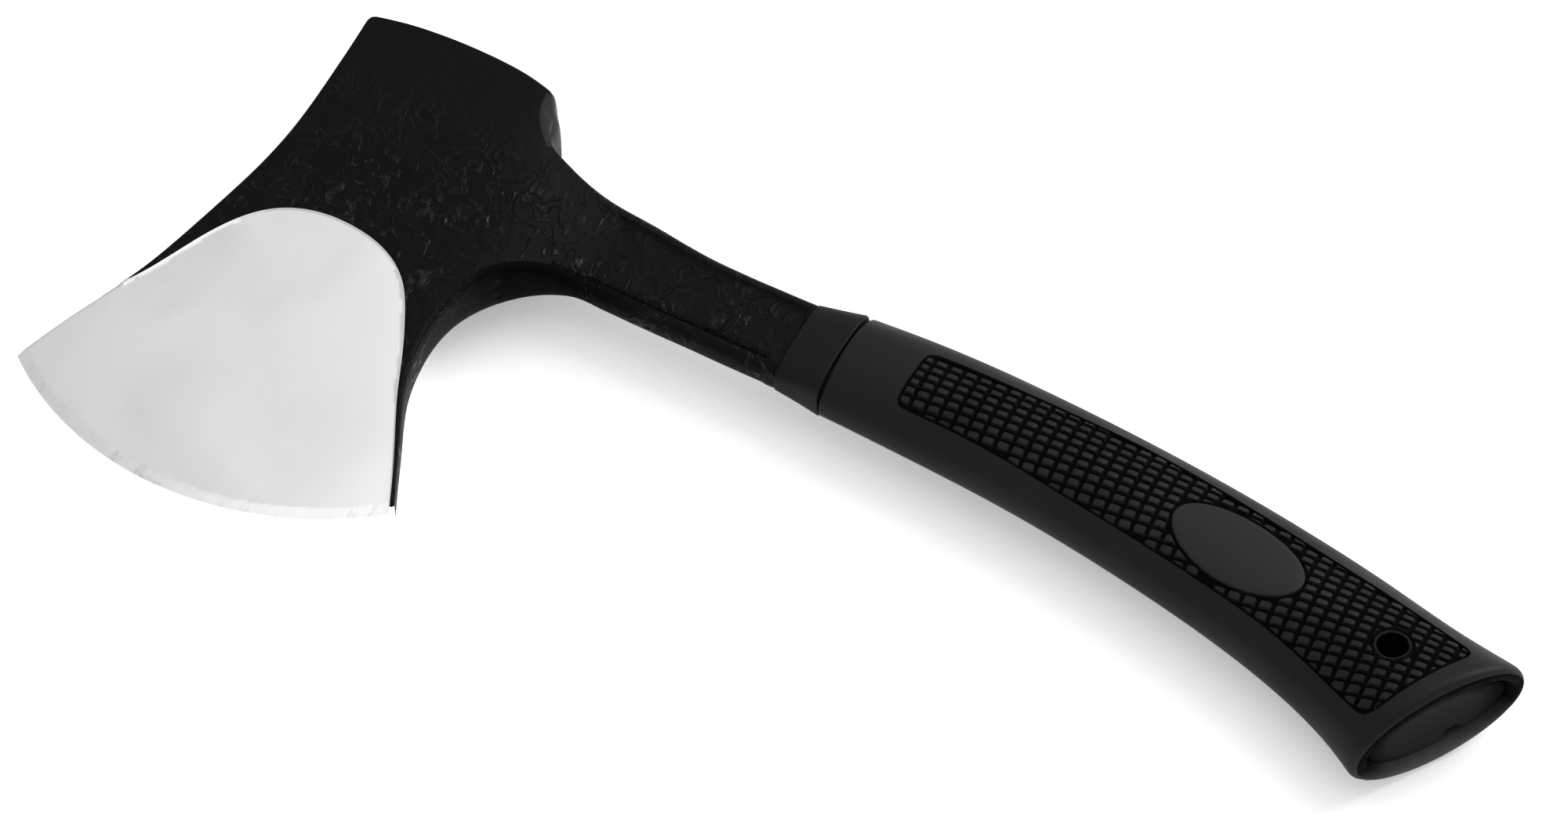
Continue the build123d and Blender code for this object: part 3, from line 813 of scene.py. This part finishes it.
low, high = rim_loop.min(0), rim_loop.max(0)
columns = np.arange(int(low[0] / STUD_U) - 1, int(high[0] / STUD_U) + 2)
rows = np.arange(int(low[1] / STUD_V) - 1, int(high[1] / STUD_V) + 2)
stud_bases, stud_tops, stud_middles = [], [], []
for cell in ((i, j) for i in columns for j in rows):
    middle = (np.array(cell) + 0.5) * (STUD_U, STUD_V)
    near = distance(middle[None], closed(rim_loop))[0] < 2.2
    if not near and not inside(middle[None], rim_loop)[0]:
        continue
    base, top = stud(middle, 0.0), stud(middle, STUD_SLOPE)
    if area(top) < 0.32 or badge_reach(top.mean(0)[None])[0] < 1:
        continue
    stud_bases.append(base)
    stud_tops.append(top)
    stud_middles.append(top.mean(axis=0))

# Material numbers on the rubber, in the order of its material list
PLAIN, PANEL_IN_SHADE, STUDDED, RIM_FACE = range(4)

# Upper and lower faces of the grip, between two lines along its sides
SIDE_COS = 0.9
LIP_END, RIM_START = 10.7, 166.7
s_line = np.concatenate([[LIP_END], np.arange(12.0, 165.9, 1.5), [RIM_START]])
middle, spine_way, _ = grip_station(s_line)
cap_reach = SIDE_COS * grip_a(s_line)
spine_line = middle + cap_reach[:, None] * spine_way
belly_line = middle - cap_reach[:, None] * spine_way
end_t = np.linspace(1, -1, 19)[1:-1]


def end_line(k):
    """Points across the grip at one end of its faces, without the two corners."""
    return middle[k] + (end_t * cap_reach[k])[:, None] * spine_way[k]


cap_border = np.concatenate([spine_line, end_line(-1), belly_line[::-1], end_line(0)[::-1]])
# The hole's raised land: distance outside the hole, then height over the plain surface
HOLE_STEPS = 40
HOLE_LAND = [(0.0, -0.55), (0.2, -0.3), (0.4, -0.3), (0.75, -PANEL_DEPTH)]
hole_loops = [circle(HOLE_STEPS, HOLE_RADIUS + more) for more, _ in HOLE_LAND]
loops = [rim_loop, floor_loop, *hole_loops, *stud_bases, *stud_tops]
free = hex_points(cap_border.min(0), cap_border.max(0), 1.7)
free = free[inside(free, cap_border) & (distance(free, closed(cap_border)) > 0.8)]
free = free[distance(free, closed(rim_loop)) > 0.9]
free = free[~inside(free, rim_loop)]
floor_free = np.concatenate([ellipse(30, BADGE_A * k, BADGE_B * k) for k in (0.25, 0.5, 0.75, 1.0)])
tops = np.array(stud_middles)
loose = np.concatenate([free, floor_free, tops])
plan, faces, source = triangulate(cap_border, loops=loops, free=loose)
# Each kind of point sits at its own height over the grip's plain surface
STUD_EDGE, STUD_CROWN = -0.12, 0.02
sink = [np.zeros(len(cap_border)), np.zeros(len(rim_loop)), np.full(len(floor_loop), -PANEL_DEPTH),
        *(np.full(HOLE_STEPS, height) for _, height in HOLE_LAND),
        np.full(sum(map(len, stud_bases)), -PANEL_DEPTH),
        np.full(sum(map(len, stud_tops)), STUD_EDGE),
        np.zeros(len(free)), np.full(len(floor_free), -PANEL_DEPTH),
        np.full(len(tops), STUD_CROWN)]
sink = np.concatenate(sink)
level = np.where(source >= 0, sink[np.clip(source, 0, len(sink) - 1)], -PANEL_DEPTH)
centres = plan[np.array(faces)].mean(axis=1)
in_hole = np.linalg.norm(centres - hole_centre, axis=1) < HOLE_RADIUS * 0.98
faces = [f for f, gone in zip(faces, in_hole) if not gone]
plain = grip_half(plan)
highest = level[np.array(faces)].max(axis=1)
panel_face = inside(plan[np.array(faces)].mean(axis=1), rim_loop)
finish = np.where(panel_face, np.where(highest < -0.8, PANEL_IN_SHADE, STUDDED), PLAIN)


def rim_rubber_painted_light_and_shade():
    """Rubber inside the butt's rim, with painted shade making it near black above and painted light
    making it paler below.
    """
    n = Nodes("rim_rubber_painted_light_and_shade")
    split = n.new("ShaderNodeSeparateXYZ")
    n.link(n.place, split.inputs[0])
    scuffs = n.noise(240.0, 5.0, 0.65, distortion=0.6)
    # Painted light and shade by height: paler below, near black above, the border broken up by the scuff
    # noise.
    up = n.sum(n.sum(split.outputs["Z"], 0.0, 45.0), n.sum(scuffs, -0.5, 0.18), 1.0)
    colour = n.ramp(up, (0.18, (0.1400, 0.1400, 0.1405)), (0.50, (0.0020, 0.0020, 0.0021)))
    roughness = n.ramp(scuffs, (0.3, 0.55), (0.7, 0.75))
    return n.finish(colour, roughness, n.bump(scuffs, 0.00012, 0.6), Specular_IOR_Level=0.12)


RIM_LIGHT_AND_SHADE = rim_rubber_painted_light_and_shade()
grip = Shell()
for side in (1, -1):
    top = np.column_stack([plan, side * (plain + level)])
    grip.add(top, faces, finish.tolist())
hole_half = grip_half(hole_loops[0]) + HOLE_LAND[0][1]
hole_wall = [np.column_stack([hole_loops[0], k * hole_half]) for k in np.linspace(1, -1, 9)]
# The lanyard hole's wall gets the panel floor's painted shade.
grip.rings(hole_wall, PANEL_IN_SHADE)

# Sides of the grip, then its ends
side_angles = np.linspace(np.arccos(SIDE_COS), -np.arccos(SIDE_COS), 15)
for way in (1, -1):
    unit = np.stack([way * np.cos(side_angles), np.sin(side_angles)], axis=1)
    grip.rings([section(s, unit) for s in s_line], PLAIN, wrap=False)

top_across = SIDE_COS * end_t
top_unit = np.stack([top_across, np.sqrt(1 - top_across**2)], axis=1)
right_unit = np.stack([np.cos(side_angles), np.sin(side_angles)], axis=1)
left_unit = np.stack([-np.cos(side_angles), np.sin(side_angles)], axis=1)
around = np.concatenate([top_unit[::-1], right_unit, top_unit * (1, -1), left_unit[::-1]])

lip = [(LIP_END, 0.0), (10.45, 0.04), (10.2, 0.18), (10.05, 0.42), (10.0, 0.75), (10.0, 3.0), (12.0, 3.2)]
rings = [section(s, around, inset) for s, inset in lip]
grip.rings(rings)
grip.cap(rings[-1], np.array([*station(12.0)[0], 0.0]))

RIM = 2.6
rim_turns = np.linspace(0, pi / 2, 8)
rings = [section(RIM_START + RIM * sin(x), around, RIM * (1 - cos(x))) for x in rim_turns]
rim_steps = [(0.35, 0.0), (0.75, -0.12), (1.15, -0.45), (1.5, -0.9), (1.8, -1.35), (2.05, -1.8),
             (2.25, -2.3), (2.3, -4.0)]
rings += [section(RIM_START + RIM, around, RIM + more, back) for more, back in rim_steps]
grip.rings(rings[:6])
# The rim's inner face carries the painted light and shade.
grip.rings(rings[5:], RIM_FACE)
grip.cap(rings[-1], rings[-1].mean(axis=0), RIM_FACE)
grip_piece = grip.build("rubber_grip_sleeve", [GRIP, PANEL_SHADE_RUBBER, STUDS, RIM_LIGHT_AND_SHADE], 34.0)
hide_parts("rubber_grip")

# ---------------------------------------------------------------- collar

collar_knots = [-2.5, 3.0, 9.4]
collar_a = natural_spline(collar_knots, [11.8, 12.25, 12.95])
collar_b = natural_spline(collar_knots, [4.45, 5.75, 7.3])
collar_turns = np.linspace(0, 2 * pi, 96, endpoint=False)


def collar_ring(s, inset=0.0):
    """A rounded-rectangle section of the collar."""
    a, b = float(collar_a(s)) - inset, float(collar_b(s)) - inset
    power = 0.58
    across = np.sign(np.cos(collar_turns)) * np.abs(np.cos(collar_turns)) ** power
    up = np.sign(np.sin(collar_turns)) * np.abs(np.sin(collar_turns)) ** power
    middle, spine_way, _ = station(s)
    return np.column_stack([middle + (a * across)[:, None] * spine_way, b * up])


collar = Shell()
front = [(-2.2, 1.6), (-2.5, 1.3), (-2.5, 0.35), (-2.35, 0.12), (-2.1, 0.0)]
back = [(8.9, 0.0), (9.15, 0.08), (9.35, 0.3), (9.45, 0.7), (9.5, 1.5), (11.0, 1.7)]
body = [(s, 0.0) for s in np.linspace(-1.4, 8.4, 14)]
rings = [collar_ring(s, inset) for s, inset in front + body + back]
collar.rings(rings)
collar.cap(rings[0], np.array([*station(-2.2)[0], 0.0]))
collar.cap(rings[-1], np.array([*station(11.0)[0], 0.0]))
collar_piece = collar.build("handle_collar", [COLLAR], 45.0)
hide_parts("grip_core")

# ---------------------------------------------------------------- badges

for name, node, side in (("badge_oval_upper", "badge_upper", 1), ("badge_oval_lower", "badge_lower", -1)):
    badge = Shell()
    profile = [(0.25, -1.3), (0.0, -1.2), (0.0, -0.30), (0.05, -0.14), (0.18, -0.03), (0.40, 0.02)]
    profile += [(x, 0.03) for x in (1.5, 3.0, 4.5, 6.0, 7.3)]
    rings = []
    for inset, rise in profile:
        flat = ellipse(72, BADGE_A - inset, BADGE_B - inset)
        rings.append(np.column_stack([flat, side * (grip_half(flat) + rise)]))
    badge.rings(rings)
    middle_half = grip_half(badge_middle[None])[0]
    badge.cap(rings[0], np.array([*badge_middle, side * (middle_half - 1.3)]))
    badge.cap(rings[-1], np.array([*badge_middle, side * (middle_half + 0.03)]))
    badge_piece = badge.build(name, [BADGE], 50.0)
    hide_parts(node)

# ---------------------------------------------------------------- butt plug


def shaded_plug():
    """Plug plastic with a painted shadow: darker towards its border, most along its upper side, where the
    rim shades it.
    """
    n = Nodes("plug_plastic_painted_shadow")
    middle, _, ahead = grip_station(RIM_START + RIM)
    # The painted shadow's middle sits below the plug's middle, so its upper border gets the darkest
    # shade.
    place = n.new("ShaderNodeMapping", vector_type="TEXTURE")
    place.inputs["Location"].default_value = lift([(*middle, -1.6)])[0]
    place.inputs["Rotation"].default_value = (0, 0, float(np.arctan2(ahead[1], ahead[0])))
    place.inputs["Scale"].default_value = (1.0, 0.0190, 0.0112)
    n.link(n.place, place.inputs["Vector"])
    flat = n.new("ShaderNodeVectorMath", operation="MULTIPLY")
    flat.inputs[1].default_value = (0.0, 1.0, 1.0)
    n.link(place.outputs["Vector"], flat.inputs[0])
    far = n.new("ShaderNodeVectorMath", operation="LENGTH")
    n.link(flat.outputs["Vector"], far.inputs[0])
    cloud = n.noise(160.0, 4.0, 0.6)
    grain = n.noise(1600.0, 3.0, 0.6)
    border = n.sum(far.outputs["Value"], n.sum(cloud, 0.12, 0.12), 0.9)
    colour = n.ramp(border, (0.62, (0.0300, 0.0305, 0.0310)), (0.90, (0.0020, 0.0020, 0.0021)))
    roughness = n.ramp(border, (0.62, 0.5), (0.90, 0.85))
    return n.finish(colour, roughness, n.bump(grain, 6e-5, 0.6), Specular_IOR_Level=0.12)


PLUG = shaded_plug()
plug_turns = np.linspace(0, 2 * pi, 120, endpoint=False)
plug_unit = np.stack([np.cos(plug_turns), np.sin(plug_turns)], axis=1)
NOTCH_TURN, NOTCH_HALF_TURN, NOTCH_DEPTH = radians(288.0), radians(7.5), 2.0
in_notch = 1 - ease((np.abs(plug_turns - NOTCH_TURN) - NOTCH_HALF_TURN) / radians(2.0))


def plug_ring(inset, back, notch_share=1.0):
    """One section of the plug, drawn in where its edge has a small notch."""
    ring = section(RIM_START + RIM, plug_unit, inset, back)
    inner = section(RIM_START + RIM, plug_unit, inset + NOTCH_DEPTH, back)
    share = (in_notch * notch_share)[:, None]
    return ring * (1 - share) + inner * share


plug = Shell()
profile = [(5.35, -4.0, 1.0), (5.25, -2.6, 1.0), (5.3, -2.1, 1.0), (5.5, -1.85, 1.0), (5.8, -1.76, 1.0),
           (6.6, -1.78, 0.55), (7.4, -1.9, 0.0), (8.8, -2.1, 0.0), (10.2, -2.25, 0.0), (12.0, -2.35, 0.0)]
rings = [plug_ring(*step) for step in profile]
plug.rings(rings)
plug.cap(rings[0], rings[0].mean(axis=0))
plug.cap(rings[-1], rings[-1].mean(axis=0))
plug_piece = plug.build("butt_end_plug", [PLUG], 50.0)
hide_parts("butt_plug")

# ---------------------------------------------------------------- stage, light and camera

scene = bpy.context.scene
scene.view_settings.view_transform = "Standard"
scene.view_settings.look = "None"
scene.view_settings.gamma = 0.7

bpy.ops.mesh.primitive_plane_add(size=8.0, location=(0, 0, -0.0001))
floor = bpy.context.object
floor.name = "studio_floor"
paper = Nodes("studio_paper")
shade = paper.noise(3.0, 2.0)
floor.data.materials.append(paper.finish(
    paper.ramp(shade, (0.3, (0.90, 0.90, 0.895)), (0.7, (0.92, 0.92, 0.915))), Roughness=0.9,
    Specular_IOR_Level=0.1, Emission_Color=(1.0, 1.0, 0.995, 1.0), Emission_Strength=0.42))

world = bpy.data.worlds.new("studio_air")
scene.world = world
world.use_nodes = True
world.node_tree.nodes["Background"].inputs["Color"].default_value = (1.0, 1.0, 1.0, 1)
world.node_tree.nodes["Background"].inputs["Strength"].default_value = 0.67


def softbox(name, place, aim, size, power):
    """A square area light that points at a spot, both in metres."""
    light = bpy.data.lights.new(name, "AREA")
    light.shape = "RECTANGLE"
    light.size, light.size_y = size
    light.energy = power
    lamp = bpy.data.objects.new(name, light)
    lamp.location = place
    lamp.rotation_euler = (Vector(aim) - Vector(place)).to_track_quat("-Z", "Y").to_euler()
    scene.collection.objects.link(lamp)


softbox("far_softbox", (0.30, 1.0, 1.5), (0.0, 0.0, 0.0), (1.5, 1.2), 7.0)
softbox("overhead_softbox", (-0.2, -0.2, 1.4), (-0.1, 0.0, 0.0), (0.8, 0.8), 0.9)
softbox("right_softbox", (0.77, 0.98, 0.61), (0.16, 0.0, 0.0), (0.5, 0.4), 5.0)

# The camera's place and aim are in the plan frame, in millimetres
camera = bpy.data.cameras.new("camera")
camera.lens, camera.sensor_width, camera.sensor_fit = 108.0, 36.0, "HORIZONTAL"
camera.clip_start, camera.clip_end = 0.01, 50.0
viewer = bpy.data.objects.new("camera", camera)
eye = Vector((449.7, -511.0, 824.4))
target = Vector((160.2, 64.3, 0.0))
origin = Vector((TOE_X, CHORD_Y, MIDDLE_Z))
viewer.location = (eye + origin) * MM
viewer.rotation_euler = (target - eye).to_track_quat("-Z", "Y").to_euler()
scene.collection.objects.link(viewer)
scene.camera = viewer
